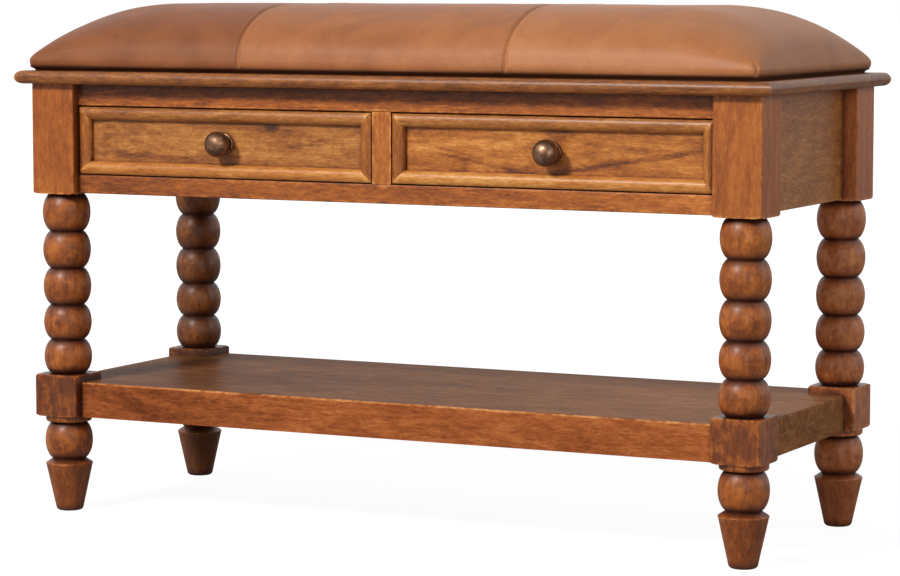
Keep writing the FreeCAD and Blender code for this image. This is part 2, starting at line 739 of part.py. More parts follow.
def moulding_strip(section, direction):
    """A strip of the moulding, swept from its section's points."""
    edges = [
        line(section["back_outer"], section["outer"]),
        arc(section["outer"], section["crown"], section["inner"]),
        line(section["inner"], section["back_inner"]),
        line(section["back_inner"], section["back_outer"]),
    ]
    return Part.Face(Part.Wire(edges)).extrude(direction)


def mitre_block(points, p):
    """The room that one mitred strip may fill, as a prism across the drawer front."""
    y = p.field - MOULDING_CROWN_HEIGHT - OVERRUN
    corners = [V(x, y, z) for x, z in points]
    face = Part.Face(Part.makePolygon(corners + corners[:1]))
    return face.extrude(V(0, MOULDING_CROWN_HEIGHT + 2 * OVERRUN, 0))


def drawer_mouldings(p):
    """Four mitred strips round the field of a drawer front."""
    (x0, x1), (z0, z1) = p.front_x, p.front_z
    w = MOULDING_WIDTH
    outline = {
        "bottom": [(x0, z0), (x1, z0), (x1 - w, z0 + w), (x0 + w, z0 + w)],
        "top": [(x0, z1), (x1, z1), (x1 - w, z1 - w), (x0 + w, z1 - w)],
        "left": [(x0, z0), (x0, z1), (x0 + w, z1 - w), (x0 + w, z0 + w)],
        "right": [(x1, z0), (x1, z1), (x1 - w, z1 - w), (x1 - w, z0 + w)],
    }
    along = V(x1 - x0, 0, 0)
    upward = V(0, 0, z1 - z0)
    strips = {}
    for name, outer, inward in (("bottom", z0, 1), ("top", z1, -1)):
        section = {k: V(x0, y, z) for k, (z, y) in moulding_profile(p, outer, inward).items()}
        strips[name] = moulding_strip(section, along)
    for name, outer, inward in (("left", x0, 1), ("right", x1, -1)):
        section = {k: V(x, y, z0) for k, (x, y) in moulding_profile(p, outer, inward).items()}
        strips[name] = moulding_strip(section, upward)
    mitred = {name: strip.common(mitre_block(outline[name], p)) for name, strip in strips.items()}
    return {f"moulding_{name}": strip for name, strip in mitred.items()}


def placed_on_field(shape, p):
    """A shape turned about Z, laid so that Z points out of the drawer front at the knob's place."""
    shape.rotate(V(0, 0, 0), V(1, 0, 0), 90)
    shape.translate(V(p.knob_x, p.field, p.knob_z))
    return shape


def knob_screw_hole(p):
    hole = KNOB_SCREW_DIAMETER + 2 * MORTISE_CLEARANCE
    start = V(p.knob_x, p.front_back + OVERRUN, p.knob_z)
    return rod(start, V(0, -1, 0), DRAWER_FRONT_THICKNESS + 2 * OVERRUN, hole)


def knob_edges():
    """A flattened ball with a small flat tip, on a neck that stands on the rose."""
    neck = KNOB_NECK_DIAMETER / 2
    widest = KNOB_DIAMETER / 2
    tip = KNOB_TIP_DIAMETER / 2
    half_depth = KNOB_BALL_DEPTH / 2
    centre = V(0, 0, KNOB_LENGTH - half_depth)
    ball = Part.Ellipse(V(widest, 0, centre.z), centre + V(0, 0, half_depth), centre)
    start = -math.acos(neck / widest)
    end = math.acos(tip / widest)
    neck_top = V(neck, 0, centre.z + half_depth * math.sin(start))
    tip_edge = V(tip, 0, centre.z + half_depth * math.sin(end))
    return [
        line(V(0, 0, ROSE_THICKNESS), V(neck, 0, ROSE_THICKNESS)),
        line(V(neck, 0, ROSE_THICKNESS), neck_top),
        Part.Arc(ball, start, end).toShape(),
        line(tip_edge, V(0, 0, tip_edge.z)),
        line(V(0, 0, tip_edge.z), V(0, 0, ROSE_THICKNESS)),
    ]


def drawer_knob(p):
    """A ball knob on a round rose, held by a machine screw from inside the drawer."""
    hole = KNOB_SCREW_DIAMETER + 2 * MORTISE_CLEARANCE
    bore = rod(V(0, 0, 0), V(0, 0, 1), KNOB_SCREW_GRIP + MORTISE_CLEARANCE, hole)
    knob = turned(knob_edges()).cut(bore)
    rose = rod(V(0, 0, 0), V(0, 0, 1), ROSE_THICKNESS, ROSE_DIAMETER)
    rose = eased(rose, ROSE_ROUND, lambda c: near(c.z, ROSE_THICKNESS)).cut(bore)
    shank_length = DRAWER_FRONT_THICKNESS + KNOB_SCREW_GRIP
    shank = rod(V(0, 0, -DRAWER_FRONT_THICKNESS), V(0, 0, 1), shank_length, KNOB_SCREW_DIAMETER)
    head_bottom = V(0, 0, -DRAWER_FRONT_THICKNESS - KNOB_SCREW_HEAD_HEIGHT)
    head = rod(head_bottom, V(0, 0, 1), KNOB_SCREW_HEAD_HEIGHT, KNOB_SCREW_HEAD_DIAMETER)
    pieces = {"knob": knob, "knob_rose": rose, "knob_screw": joined([shank, head])}
    return {name: placed_on_field(piece, p) for name, piece in pieces.items()}


def make_drawers():
    half_stile = STILE_WIDTH / 2
    openings = {"left": (-POST_INNER_X, -half_stile), "right": (half_stile, POST_INNER_X)}
    nodes = {}
    for name, opening in openings.items():
        p = DrawerPlaces(opening)
        pieces = {**drawer_box(p), **drawer_mouldings(p), **drawer_knob(p)}
        nodes.update({f"{name}_drawer_{piece}": shape for piece, shape in pieces.items()})
    return nodes


# The whole bench

def make_bench():
    joinery = Joinery()
    nodes = make_front_rails(joinery)
    nodes["centre_stile"] = make_stile(joinery)
    nodes["side_panel_left"] = make_side_panel(-1, joinery)
    nodes["side_panel_right"] = make_side_panel(1, joinery)
    nodes["back_panel"] = make_back_panel(joinery)
    nodes.update(make_runners(joinery))
    mortises = Part.makeCompound(joinery.rail_cutters)
    for name in ("front_top_rail", "front_bottom_rail", "back_panel"):
        nodes[name] = nodes[name].cut(mortises)
    nodes.update(make_legs(joinery.leg_cutters + dowel_holes()))
    nodes["drawer_guide_centre"] = make_guide()
    nodes.update(make_kickers())
    nodes["top_board"] = make_top_board()
    nodes.update(make_seat())
    nodes.update(make_shelf())
    nodes.update(make_drawers())
    nodes["shelf_dowels"] = make_dowels()
    top_screws = [wood_screw(head, top_screw_length()) for head in top_screw_heads()]
    seat_screws = [wood_screw(head, seat_screw_length()) for head in seat_screw_heads()]
    nodes["top_screws"] = Part.makeCompound(top_screws)
    nodes["seat_screws"] = Part.makeCompound(seat_screws)
    return nodes


def main():
    os.makedirs("parts", exist_ok=True)
    for name, shape in make_bench().items():
        shape.exportStep(f"parts/{name}.step")


main()
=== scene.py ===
"""Looks of the bench: stained wood, a leather seat, bronze knobs and the studio round them."""

import math

import bmesh
import bpy
from mathutils import Matrix, Vector, noise


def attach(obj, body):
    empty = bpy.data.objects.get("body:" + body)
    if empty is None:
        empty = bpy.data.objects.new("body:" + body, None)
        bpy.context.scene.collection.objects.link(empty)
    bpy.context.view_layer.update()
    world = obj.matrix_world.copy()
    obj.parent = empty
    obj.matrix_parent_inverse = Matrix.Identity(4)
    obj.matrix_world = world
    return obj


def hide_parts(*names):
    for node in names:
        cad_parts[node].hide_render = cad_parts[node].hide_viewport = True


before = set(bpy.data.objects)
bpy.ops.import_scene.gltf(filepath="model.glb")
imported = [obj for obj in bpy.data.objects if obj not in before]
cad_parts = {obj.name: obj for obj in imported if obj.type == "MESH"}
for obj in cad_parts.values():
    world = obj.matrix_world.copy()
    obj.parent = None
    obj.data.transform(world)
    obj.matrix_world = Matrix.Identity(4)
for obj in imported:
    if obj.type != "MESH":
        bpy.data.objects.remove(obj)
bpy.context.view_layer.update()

MM = 0.001

# Seat: close to the part's solids, drawn to its outline in the photo
SEAT_BASE = 443.0 * MM
SEAT_CENTRE_X = -3.1 * MM
SEAT_HALF = (388.7 * MM, 155.4 * MM)
SEAT_HEIGHT = 65.6 * MM
SEAT_WIDEST = 11.0 * MM
SEAT_CORNER = 8.5 * MM
CORNER_CUT, CORNER_FALL = 0.29, 1.2
CROWN_RUN = (122.3 * MM, 100.3 * MM)
CROWN_POWER = 0.943
SEAMS = (-150.0 * MM, 135.0 * MM)

# Inset and height of each line of the seat's foot, in millimetres
SEAT_FOOT = ((7.0, 0.0), (6.2, 1.8), (3.0, 2.7), (1.1, 4.6), (0.2, 7.6), (0.0, 11.0))
FOOT_STEPS = len(SEAT_FOOT) - 1

# Mesh lines along and across the seat, and how many at each edge follow the crown
SEAT_LINES = (136, 58)
CROWN_LINES = 22

# Filling: how far it pushes the leather out, how far any point may move, and how far the sides draw in
SLACK = 0.4 * MM
SLACK_FADE = 16.0 * MM
MOST_PUFF = SLACK + 0.3 * MM
DRAWN_IN = 0.5 * MM
PRESSURE = 4.0
STIFFNESS = 25.0
BENDING = 2.0
CLOTH_FRAMES = 14

# Seams, in millimetres: the lines cut beside them, the groove and the puckered swell along it
SEAM_CUTS = (-4.5, -2.0, 0.0, 2.0, 4.5)
GROOVE_DEPTH, GROOVE_WIDTH = 1.5, 1.3
SWELL_HEIGHT, SWELL_PLACE, SWELL_WIDTH = 0.4, 4.5, 2.2
PUCKER_HEIGHT, PUCKER_PITCH, PUCKER_SHIFT = 0.25, 5.0, 900.0

# Tucks at the seat's corners, in millimetres: the fold, its lips, and where on the seat they fade
FOLD_DEPTH, FOLD_WIDTH = 3.2, 2.2
LIP_HEIGHT, LIP_PLACE, LIP_WIDTH = 0.8, 6.0, 4.0
TUCK_HEIGHT, TUCK_SPREAD, TUCK_REACH = 9.0, 10.0, 32.0

# Stitches beside the seams
STITCH_SIZE = (0.55 * MM, 1.7 * MM, 0.42 * MM)
STITCH_GAP = 4.6 * MM
STITCH_LIFT = 1.55 * MM
STITCH_OFFSETS = (4.2 * MM, -4.2 * MM)

# Legs: their axes, and the heights and radii between which the stain and the painted shade and highlight
# change
LEG_X = 363.5 * MM
LEG_Y = 127.5 * MM
POST_FADE = (326.5 * MM, 316.5 * MM)
BLOCK_TOP_FADE = (141.0 * MM, 137.0 * MM)
BLOCK_BOTTOM_FADE = (94.0 * MM, 98.0 * MM)
FOOT_FADE = (60.0 * MM, 40.0 * MM)
GROOVE_FADE = (22.0 * MM, 17.6 * MM)
BELLY_FADE = (20.0 * MM, 23.7 * MM)
GROOVE_STAIN_AND_SHADE = 0.26
BELLY_WEAR_AND_HIGHLIGHT = 0.20

# Front rail: a painted shadow of the top board darkens it between these heights, close under the top board
NOSE_SHADE = (412.0 * MM, 423.0 * MM)
NOSE_SHADOW_DARKER = 0.20

# Top board: where the mitres of its end nosing start
TOP_MITRE = 236.0 * MM

# Shelf: the heights above which its edges wear, and the place of the painted highlight along its front edge;
# its ends get painted shade
SHELF_WEAR = (127.0 * MM, 129.0 * MM)
SHELF_EDGE_RISE = (129.6 * MM, 131.2 * MM)
SHELF_EDGE_FRONT = (-138.6 * MM, -140.4 * MM)
SHELF_EDGE_HIGHLIGHT = 0.34
SHELF_END_SHADE = 0.02

# Plywood: lower face and thickness
SEAT_BOARD = (444.6 * MM, 9.0 * MM)
DRAWER_BOTTOM = (348.3 * MM, 5.0 * MM)

# Seeds, which shift the grain from piece to piece
FRAME_SEED = 1.0
DRAWER_SEED = 101.0
SEED_STEP = 3.7
MOULDING_SHIFT = 5.3
BOX_SHIFT = 2.9


# Shader building

class Value:
    """A socket's value that takes part in Python arithmetic."""

    def __init__(self, nodes, socket):
        self.nodes = nodes
        self.socket = socket

    def _math(self, operation, a, b):
        return self.nodes.node("Math", {"operation": operation}, {0: a, 1: b})

    def __add__(self, other):
        return self._math("ADD", self, other)

    def __sub__(self, other):
        return self._math("SUBTRACT", self, other)

    def __rsub__(self, other):
        return self._math("SUBTRACT", other, self)

    def __mul__(self, other):
        return self._math("MULTIPLY", self, other)

    def __truediv__(self, other):
        return self._math("DIVIDE", self, other)

    def __rtruediv__(self, other):
        return self._math("DIVIDE", other, self)

    __radd__ = __add__
    __rmul__ = __mul__


class Nodes:
    """A node tree whose nodes are made by one method."""

    def __init__(self, tree):
        self.tree = tree

    def node(self, kind, settings=None, inputs=None, output=0):
        """Adds a node, sets it up, joins its inputs and returns one output."""
        made = self.tree.nodes.new("ShaderNode" + kind)
        for key, value in (settings or {}).items():
            if key == "stops":
                self._set_stops(made.color_ramp, value)
            else:
                setattr(made, key, value)
        for key, value in (inputs or {}).items():
            self.feed(made.inputs[key], value)
        return Value(self, made.outputs[output])

    def _set_stops(self, ramp, stops):
        while len(ramp.elements) < len(stops):
            ramp.elements.new(0.5)
        for element, (position, colour) in zip(ramp.elements, stops):
            element.position = position
            element.color = (*colour, 1.0)

    def feed(self, socket, value):
        if isinstance(value, Value):
            self.tree.links.new(value.socket, socket)
        elif isinstance(value, (tuple, list)) and len(value) == 3 and socket.type == "RGBA":
            socket.default_value = (*value, 1.0)
        else:
            socket.default_value = value


class Shader(Nodes):
    """A material and the patterns that it is mixed from."""

    def __init__(self, name):
        self.material = bpy.data.materials.new(name)
        self.material.use_nodes = True
        super().__init__(self.material.node_tree)
        self.surface = self.tree.nodes["Principled BSDF"]
        self.place = self.node("TexCoord", output="Object")

    def finish(self, **inputs):
        """Feeds the surface's sockets, named with underscores for spaces."""
        for key, value in inputs.items():
            self.feed(self.surface.inputs[key.replace("_", " ")], value)
        return self.material

    def mapped(self, vector, location=(0, 0, 0), rotation=(0, 0, 0), scale=(1, 1, 1)):
        return self.node("Mapping", None, {0: vector, 1: location, 2: rotation, 3: scale})

    def cloud(self, vector, scale, detail=3.0, rough=0.55, warp=0.0):
        """Soft noise, about 0 to 1."""
        values = {"Vector": vector, "Scale": scale, "Detail": detail, "Roughness": rough, "Distortion": warp}
        return self.node("TexNoise", None, values)

    def between(self, value, low, high, start=0.0, end=1.0):
        """A smooth step from start, where the value is low, to end, where it is high."""
        settings = {"interpolation_type": "SMOOTHSTEP"}
        return self.node("MapRange", settings, {0: value, 1: low, 2: high, 3: start, 4: end})

    def blend(self, share, a, b):
        return self.node("Mix", {"data_type": "RGBA"}, {0: share, 6: a, 7: b}, output=2)

    def ramp(self, stops, tone):
        return self.node("ValToRGB", {"stops": stops}, {0: tone})

    def absolute(self, value):
        return self.node("Math", {"operation": "ABSOLUTE"}, {0: value})

    def sine(self, value):
        return self.node("Math", {"operation": "SINE"}, {0: value})

    def length(self, vector):
        return self.node("VectorMath", {"operation": "LENGTH"}, {0: vector}, output="Value")

    def parts(self, vector):
        made = self.node("SeparateXYZ", None, {0: vector}).socket.node
        return [Value(self, socket) for socket in made.outputs]

    def facing(self):
        """The three parts of the direction that the surface faces."""
        return self.parts(self.node("NewGeometry", output="Normal"))

    def bump(self, height, strength, distance):
        return self.node("Bump", None, {"Strength": strength, "Distance": distance, "Height": height})


# Woods: colours of each stain from dark to pale

STAIN = [
    (0.0, (0.055, 0.013, 0.005)),
    (0.30, (0.190, 0.046, 0.009)),
    (0.52, (0.385, 0.104, 0.016)),
    (0.75, (0.580, 0.195, 0.036)),
    (1.0, (0.780, 0.360, 0.095)),
]
GOLDEN_STAIN = [
    (0.0, (0.060, 0.017, 0.008)),
    (0.30, (0.180, 0.054, 0.013)),
    (0.52, (0.345, 0.116, 0.024)),
    (0.75, (0.525, 0.215, 0.052)),
    (1.0, (0.720, 0.390, 0.130)),
]
HONEY_STAIN = [
    (0.0, (0.058, 0.015, 0.006)),
    (0.30, (0.186, 0.050, 0.010)),
    (0.52, (0.370, 0.112, 0.018)),
    (0.75, (0.565, 0.208, 0.040)),
    (1.0, (0.760, 0.380, 0.105)),
]
RUSSET_STAIN = [
    (0.0, (0.058, 0.016, 0.010)),
    (0.30, (0.190, 0.051, 0.018)),
    (0.52, (0.390, 0.112, 0.034)),
    (0.75, (0.590, 0.205, 0.066)),
    (1.0, (0.780, 0.370, 0.140)),
]
# Greyer stain for the painted reflection on upper faces and painted shade on end faces
SHEEN_AND_SHADE_STAIN = [
    (0.0, (0.060, 0.022, 0.012)),
    (0.30, (0.160, 0.060, 0.025)),
    (0.52, (0.300, 0.126, 0.050)),
    (0.75, (0.480, 0.230, 0.092)),
    (1.0, (0.680, 0.400, 0.190)),
]
BARE = [
    (0.0, (0.270, 0.145, 0.066)),
    (0.4, (0.440, 0.270, 0.135)),
    (0.7, (0.560, 0.370, 0.200)),
    (1.0, (0.660, 0.470, 0.280)),
]
STREAK_COLOUR = (0.120, 0.036, 0.013)
PORE_COLOUR = (0.085, 0.025, 0.010)
BARE_PORE_COLOUR = (0.20, 0.10, 0.045)

# How much each layer of the grain counts in the tone, how much painted shade with settled stain darkens each
# crevice, and how far stain rubs off
FIBRE_WEIGHT = 0.66
HAIR_WEIGHT = 0.56
CURL_WEIGHT = 1.1
BROAD_WEIGHT = 0.30
CREVICE_SHADE_AND_STAIN = 0.36
WEAR_PALER = 0.36
STREAK_SHARE = 0.28
PORE_SHARE = 0.28

# How near a corner the painted shade reaches and near an edge the stain rubs off, and how closed in a place
# is there
CREVICE_REACH, CREVICE_FADE = 11.0 * MM, (0.92, 0.42)
EDGE_REACH, EDGE_FADE = 4.5 * MM, (0.84, 0.50)

GRAIN_TURN = {"x": (0, 0, 0), "y": (0, 0, -math.pi / 2), "z": (0, math.pi / 2, 0)}
RING_COUNT = 52.0

# Noise layers of a board: scale along and across the grain, detail, roughness and warp
LAYERS = {
    "wide": (3.4, 17.0, 4.0, 0.55, 0.5),
    "fibres": (75.0, 420.0, 5.0, 0.65, 0.0),
    "hairs": (190.0, 1150.0, 3.0, 0.6, 0.0),
    "curl": (75.0, 130.0, 4.0, 0.65, 0.9),
    "patches": (15.0, 34.0, 4.0, 0.6, 0.8),
    "broad": (3.2, 7.0, 2.0, 0.5, 0.3),
    "veins": (4.2, 60.0, 4.0, 0.6, 0.5),
    "flecks": (130.0, 1050.0, 1.0, 0.55, 0.0),
}


def grain(shader, axis, seed):
    """Layers of one board's grain, which runs along an axis; the top board's ends run the other way."""
    shift = (seed * 0.731 % 3.0, seed * 1.173 % 2.0, seed * 0.417 % 2.0)
    board = shader.mapped(shader.place, rotation=GRAIN_TURN[axis[0]], location=shift)
    if axis == "x, ends y":
        ends = shader.mapped(shader.place, rotation=GRAIN_TURN["y"], location=shift)
        x, y, _ = [shader.absolute(value) for value in shader.parts(shader.place)]
        past_mitre = shader.node("Math", {"operation": "GREATER_THAN"}, {0: x - y, 1: TOP_MITRE})
        board = shader.node("Mix", {"data_type": "VECTOR"}, {0: past_mitre, 4: board, 5: ends}, output=1)
    layer = {}
    for name, (lengthwise, crosswise, detail, rough, warp) in LAYERS.items():
        stretched = shader.mapped(board, scale=(lengthwise, crosswise, crosswise))
        layer[name] = shader.cloud(stretched, 1.0, detail, rough, warp)
    layer["rings"] = shader.sine(layer["wide"] * RING_COUNT) * 0.5 + 0.5
    layer["streaks"] = shader.between(layer["veins"], 0.58, 0.78)
    layer["pores"] = shader.between(layer["flecks"], 0.60, 0.72)
    return layer


def painted_crevice_shade(shader):
    """Painted shade close to an inner corner, a groove, a joint or a part nearby; on the wood it stands also
    for stain settled there.
    """
    open_share = shader.node("AmbientOcclusion", {"samples": 6}, {"Distance": CREVICE_REACH}, output="AO")
    return shader.between(open_share, *CREVICE_FADE)


def worn_edges(shader):
    """Where the stain is rubbed through: along outer edges."""
    settings = {"samples": 6, "inside": True, "only_local": True}
    open_share = shader.node("AmbientOcclusion", settings, {"Distance": EDGE_REACH}, output="AO")
    return shader.between(open_share, *EDGE_FADE)


def dark_line(shader, layer, start, end, width, depth):
    """A dark streak between two points of a drawer front, given across and up in millimetres."""
    (x0, z0), (x1, z1) = start, end
    length = math.hypot(x1 - x0, z1 - z0)
    along_x, along_z = (x1 - x0) / length, (z1 - z0) / length
    x, _, z = shader.parts(shader.mapped(shader.place, location=(-x0 * MM, 0, -z0 * MM)))
    far = (x * along_x + z * along_z) / (length * MM)
    aside = z * along_x - x * along_z + (layer["patches"] - 0.5) * (width * 0.9 * MM)
    aside = shader.absolute(aside) + (layer["fibres"] - 0.5) * (width * 0.7 * MM)
    ends = shader.between(far, -0.12, 0.12) * shader.between(far, 1.15, 0.75)
    return shader.between(aside, width * MM, 0.0) * ends * depth


def knot_mark(shader, layer, place, size):
    """A dark knot, longer along the board than across, in a wider and fainter shade."""
    offset = shader.mapped(shader.place, location=tuple(-v for v in place))
    squeezed = shader.node("VectorMath", {"operation": "MULTIPLY"}, {0: offset, 1: (0.45, 1.0, 1.0)})
    away = shader.length(squeezed)
    away = away + (layer["patches"] - 0.5) * size * 0.9 + (layer["fibres"] - 0.5) * size * 0.5
    core = shader.between(away, size * 0.25, size * 1.15, 0.42, 0.0)
    return core + shader.between(away, size * 1.0, size * 4.0, 0.18, 0.0)


def stained_wood(
    name, axis, seed, level, figure=0.10, cloud=0.28, fine=1.0, light_lean=0.0, stain=STAIN, gloss=1.0,
    dark=None, knot=None, lines=(), wear_above=None, upper=None,
):
    """Waxed wood stained chestnut, painted darker near each crevice with shade and settled stain, and paler
    where it is rubbed.

    The level is its tone, painted paler to the right as painted light; figure, cloud and fine weigh its
    layers.
    Upper and end faces, if upper is given, are painted greyer and darker by that much: a painted reflection
    on upper faces, painted shade on end faces.
    """
    shader = Shader(name)
    layer = grain(shader, axis, seed)
    tone = (layer["rings"] - 0.5) * figure + (layer["fibres"] - 0.5) * (FIBRE_WEIGHT * fine)
    tone = tone + (layer["patches"] - 0.5) * cloud + (layer["hairs"] - 0.5) * (HAIR_WEIGHT * fine)
    tone = tone + (layer["curl"] - 0.5) * (cloud * CURL_WEIGHT)
    tone = tone + (layer["broad"] - 0.5) * BROAD_WEIGHT + level
    # Painted light: paler to the right
    if light_lean:
        tone = tone + shader.parts(shader.place)[0] * light_lean
    wear = worn_edges(shader) * shader.between(layer["curl"], 0.40, 0.60)
    if wear_above:
        wear = wear * shader.between(shader.parts(shader.place)[2], *wear_above)
    # Painted shade with settled stain near each crevice, and paler rubbed edges
    tone = tone - painted_crevice_shade(shader) * CREVICE_SHADE_AND_STAIN + wear * WEAR_PALER
    for line in lines:
        tone = tone - dark_line(shader, layer, *line)
    if knot:
        tone = tone - knot_mark(shader, layer, *knot)
    if dark:
        tone = tone - dark(shader)
    colour = shader.ramp(stain, tone)
    # Painted reflection on upper faces and painted shade on end faces
    if upper:
        x, _, z = shader.facing()
        sheen_and_shade_face = shader.between(z + shader.absolute(x), 0.75, 0.95)
        colour = shader.blend(sheen_and_shade_face, colour, shader.ramp(SHEEN_AND_SHADE_STAIN, tone - upper))
    colour = shader.blend(layer["streaks"] * STREAK_SHARE, colour, STREAK_COLOUR)
    colour = shader.blend(layer["pores"] * PORE_SHARE, colour, PORE_COLOUR)
    height = layer["fibres"] * 0.5 + layer["hairs"] * 0.4 - layer["pores"] * 0.6
    return shader.finish(
        Base_Color=colour,
        Roughness=layer["fibres"] * 0.14 + layer["pores"] * 0.2 + 0.34,
        Normal=shader.bump(height, 0.20, 0.6 * MM),
        Coat_Weight=0.12 * gloss,
        Coat_Roughness=0.32,
        Specular_IOR_Level=0.34 * gloss,
    )


def bare_wood(name, axis, seed):
    """Unfinished wood of the hidden pieces."""
    shader = Shader(name)
    layer = grain(shader, axis, seed)
    tone = (layer["rings"] - 0.5) * 0.3 + (layer["fibres"] - 0.5) * 0.7
    tone = tone + (layer["patches"] - 0.5) * 0.4 + 0.55
    colour = shader.blend(layer["pores"] * 0.35, shader.ramp(BARE, tone), BARE_PORE_COLOUR)
    height = layer["fibres"] * 0.6 + layer["hairs"] * 0.4
    return shader.finish(
        Base_Color=colour,
        Roughness=layer["fibres"] * 0.15 + 0.58,
        Normal=shader.bump(height, 0.25, 0.6 * MM),
    )


def plywood(name, seed, low, thickness):
    """Thin board with layers on its edge."""
    shader = Shader(name)
    layer = grain(shader, "x", seed)
    plies = shader.sine((shader.parts(shader.place)[2] - low) * (5 * math.pi / thickness))
    edge = 1.0 - shader.between(shader.absolute(shader.facing()[2]), 0.3, 0.7)
    tone = (layer["rings"] - 0.5) * 0.35 + (layer["fibres"] - 0.5) * 0.5 + 0.68
    return shader.finish(
        Base_Color=shader.ramp(BARE, tone + plies * edge * 0.22),
        Roughness=layer["fibres"] * 0.15 + 0.6,
        Normal=shader.bump(layer["fibres"], 0.2, 0.5 * MM),
    )


def turned_stain_and_shade(centre, depth, block_depth):
    """How much darker a leg is: below its square post, more so on its block, and in its grooves with settled
    stain and painted shade; paler on its bellies where rubbed and with a painted highlight.
    """

    def dark(shader):
        x, y, z = shader.parts(shader.mapped(shader.place, location=(-centre[0], -centre[1], 0)))
        radius = shader.node("Math", {"operation": "SQRT"}, {0: x * x + y * y})
        turned = shader.between(z, *POST_FADE)
        above_foot = 1.0 - shader.between(z, *FOOT_FADE)
        block = shader.between(z, *BLOCK_BOTTOM_FADE) * shader.between(z, *BLOCK_TOP_FADE)
        rubbed = shader.between(shader.cloud(shader.place, 75.0, 3.0, 0.6, 0.6), 0.36, 0.60)
        # Grooves: settled stain and painted shade; bellies: rubbed paler and a painted highlight
        groove = shader.between(radius, *GROOVE_FADE) * above_foot
        belly = shader.between(radius, *BELLY_FADE) * rubbed * above_foot
        return turned * (depth + block * block_depth + groove * GROOVE_STAIN_AND_SHADE - belly * BELLY_WEAR_AND_HIGHLIGHT)

    return dark


def painted_nose_shadow(shader):
    """How much darker the front rail is painted close under the top board: the top board's painted shadow.
    """
    return shader.between(shader.parts(shader.place)[2], *NOSE_SHADE) * NOSE_SHADOW_DARKER


def shelf_highlight_and_end_shade(shader):
    """How much darker the shelf is painted at its ends, as painted shade, and paler along its front edge, as
    a painted highlight.
    """
    _, y, z = shader.parts(shader.place)
    edge = shader.between(z, *SHELF_EDGE_RISE) * shader.between(y, *SHELF_EDGE_FRONT)
    broken = shader.between(shader.cloud(shader.place, 60.0, 4.0, 0.7), 0.40, 0.55)
    end = shader.between(shader.absolute(shader.facing()[0]), 0.6, 0.9)
    return end * SHELF_END_SHADE - edge * broken * SHELF_EDGE_HIGHLIGHT


# Leather, thread and metal

LEATHER = [
    (0.0, (0.180, 0.055, 0.019)),
    (0.35, (0.325, 0.110, 0.040)),
    (0.6, (0.465, 0.175, 0.066)),
    (1.0, (0.640, 0.290, 0.125)),
]
PEBBLE_GAP_COLOUR = (0.16, 0.055, 0.025)
LEATHER_SHADE_COLOUR = (0.045, 0.016, 0.009)
SEAM_BLEND = 0.4 * MM
LEFT_DARKER = 0.26
RIGHT_PALER = 0.20


def seat_leather():
    """Tan leather: fine pebbled grain and cloudy dye, the left panel darker and the right one paler, with
    painted shade in each crevice and along its drawn-in foot.
    """
    shader = Shader("tan leather")
    x = shader.parts(shader.place)[0]
    clouds = shader.cloud(shader.place, 7.0, 4.0, 0.6, 0.4)
    patches = shader.cloud(shader.place, 23.0, 4.0, 0.6, 0.8)
    specks = shader.cloud(shader.place, 420.0, 3.0, 0.6)
    creases = shader.cloud(shader.place, 55.0, 5.0, 0.65, 1.2)
    left = shader.between(x, SEAMS[0] + SEAM_BLEND, SEAMS[0] - SEAM_BLEND)
    right = shader.between(x, SEAMS[1] - SEAM_BLEND, SEAMS[1] + SEAM_BLEND)
    tone = (clouds - 0.5) * 0.62 + (patches - 0.5) * 0.44 + (specks - 0.5) * 0.16 + 0.47
    tone = tone - left * LEFT_DARKER + right * RIGHT_PALER
    cells = {"Vector": shader.place, "Scale": 620.0, "Randomness": 1.0}
    pebbles = shader.node("TexVoronoi", {"feature": "DISTANCE_TO_EDGE"}, cells, output="Distance")
    pebbles = shader.between(pebbles, 0.0, 0.22)
    colour = shader.blend((1.0 - pebbles) * 0.16, shader.ramp(LEATHER, tone), PEBBLE_GAP_COLOUR)
    # Painted shade darkens the leather in each crevice and along its drawn-in foot
    colour = shader.blend(painted_crevice_shade(shader) * 0.80, colour, LEATHER_SHADE_COLOUR)
    height = pebbles * 0.55 + creases * 0.8 + specks * 0.25
    return shader.finish(
        Base_Color=colour,
        Roughness=0.49 - pebbles * 0.08 + (patches - 0.5) * 0.14,
        Normal=shader.bump(height, 0.16, 0.8 * MM),
        Specular_IOR_Level=0.22,
    )


def sewing_thread():
    """Waxed thread with a fine twist."""
    shader = Shader("sewing thread")
    twist = {"Vector": shader.place, "Scale": 900.0, "Distortion": 2.0}
    strands = shader.node("TexWave", {"bands_direction": "DIAGONAL"}, twist, output="Fac")
    return shader.finish(
        Base_Color=shader.blend(strands, (0.34, 0.190, 0.100), (0.52, 0.320, 0.190)),
        Roughness=0.75,
        Normal=shader.bump(strands, 0.3, 0.3 * MM),
        Specular_IOR_Level=0.15,
    )


def aged_bronze():
    """Dark bronze rubbed brighter in places."""
    shader = Shader("aged bronze")
    wear = shader.cloud(shader.place, 130.0, 5.0, 0.65, 0.6)
    pits = shader.cloud(shader.place, 900.0, 3.0, 0.6)
    rubbed = shader.between(wear, 0.42, 0.68)
    return shader.finish(
        Base_Color=shader.blend(rubbed, (0.135, 0.068, 0.040), (0.330, 0.185, 0.110)),
        Metallic=0.92,
        Roughness=0.46 - rubbed * 0.14 + (pits - 0.5) * 0.12,
        Normal=shader.bump(pits + wear, 0.12, 0.4 * MM),
    )


def plated_steel():
    """Plain screws with faint turning marks."""
    shader = Shader("plated steel")
    marks = shader.cloud(shader.mapped(shader.place, scale=(1.0, 6.0, 1.0)), 700.0, 3.0)
    colour = shader.blend(marks, (0.42, 0.41, 0.39), (0.60, 0.59, 0.56))
    return shader.finish(Base_Color=colour, Metallic=1.0, Roughness=marks * 0.25 + 0.28)


# Seat

